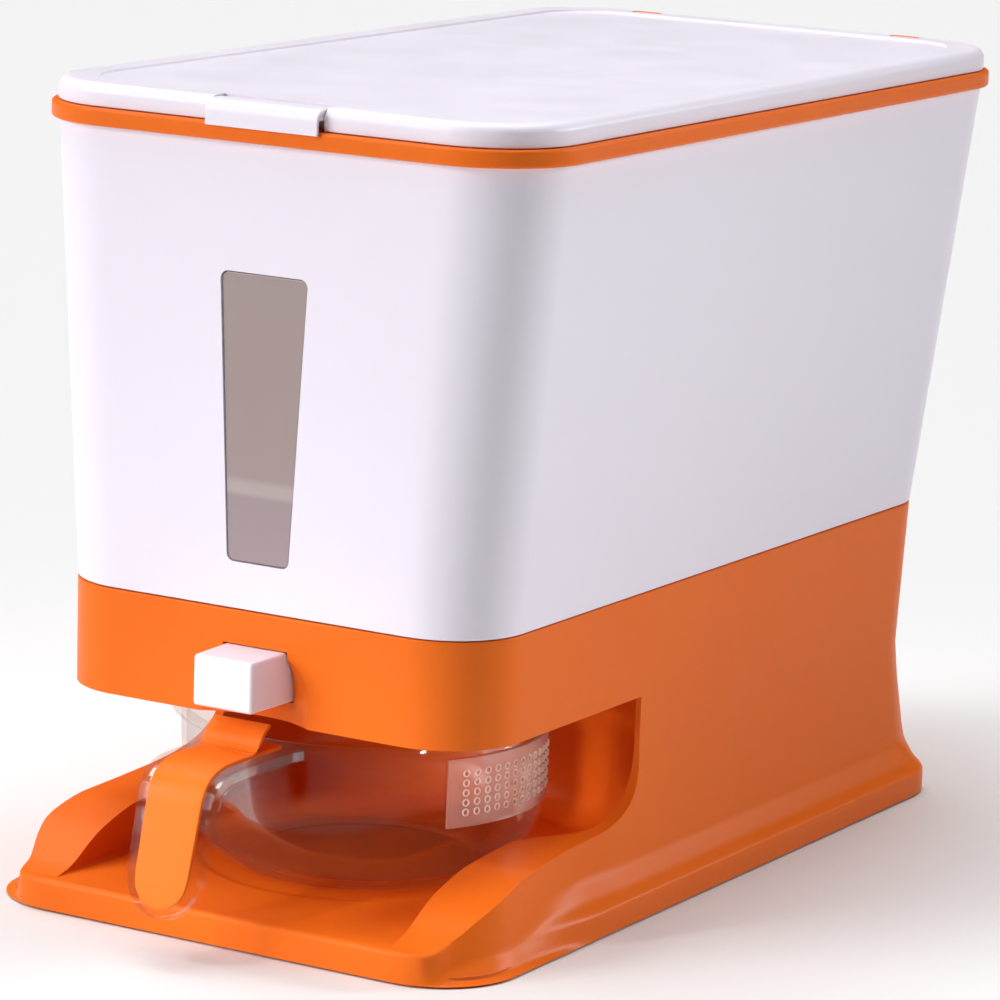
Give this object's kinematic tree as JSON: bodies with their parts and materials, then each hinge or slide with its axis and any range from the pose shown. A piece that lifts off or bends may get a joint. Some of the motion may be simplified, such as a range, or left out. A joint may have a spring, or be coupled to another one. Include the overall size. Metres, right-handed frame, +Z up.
{
  "type": "rice bin with flip lid",
  "caption": "Tapered rice bin with a flip lid and sight window, on a base whose push button slides a shutter to pour rice into a measuring cup with a strainer.",
  "frame": {"origin": "on the floor, under the centre of the whole object's box", "axes": "+Z up, -Y towards the cup and the button, X across the bin"},
  "size_m": [0.215, 0.4388, 0.3],
  "materials": {
    "orange_plastic": "satin moulded",
    "dark_orange_plastic": "fine texture",
    "white_plastic": "satin moulded",
    "inner_plastic": "satin",
    "smoked_clear": "clear, lightly smoked",
    "clear_plastic": "clear moulded",
    "strainer_plastic": "frosted clear",
    "foot_rubber": "matte",
    "grey_rubber": "matte",
    "pale_rubber": "matte",
    "screw_steel": "zinc plated"
  },
  "bodies": {
    "bin": {"base_shell": "orange_plastic", "bottom_cover": "dark_orange_plastic", "rubber_feet": "foot_rubber", "cover_screws": "screw_steel", "hopper_body": "white_plastic", "hopper_screws": "screw_steel", "hopper_funnel": "inner_plastic", "outlet_seal": "grey_rubber", "sight_window": "smoked_clear", "window_gasket": "grey_rubber", "rim_ring": "orange_plastic", "button_spring": "screw_steel", "chute_housing": "inner_plastic", "chute_screws": "screw_steel"},
    "lid": {"lid": "white_plastic", "lid_gasket": "pale_rubber", "hinge_pins": "screw_steel", "latch_pin": "screw_steel"},
    "latch": {"lid_latch": "white_plastic"},
    "button": {"push_button": "white_plastic", "slide_screws": "screw_steel", "shutter_slide": "inner_plastic"},
    "cup": {"cup_bowl": "clear_plastic", "strainer_panel": "strainer_plastic", "handle_insert": "orange_plastic"}
  },
  "joints": [
    {"name": "lid_hinge", "type": "hinge", "parent": "bin", "child": "lid", "pos_m": [0, 0.214, 0.297], "axis": [-1, 0, 0], "range_deg": [0, 100]},
    {"name": "latch_lift", "type": "hinge", "parent": "lid", "child": "latch", "pos_m": [0, -0.1576, 0.2974], "axis": [-1, 0, 0], "range_deg": [0, 8], "stiffness_Nm_per_rad": 0.3, "springref_deg": -8.59},
    {"name": "button_push", "type": "slide", "parent": "bin", "child": "button", "axis": [0, 1, 0], "range_m": [0, 0.014], "stiffness_N_per_m": 250, "springref_m": -0.008, "deforming": ["button_spring"]},
    {"name": "cup_out", "type": "slide", "parent": "bin", "child": "cup", "axis": [0, -1, 0], "range_m": [0, 0.19]}
  ]
}
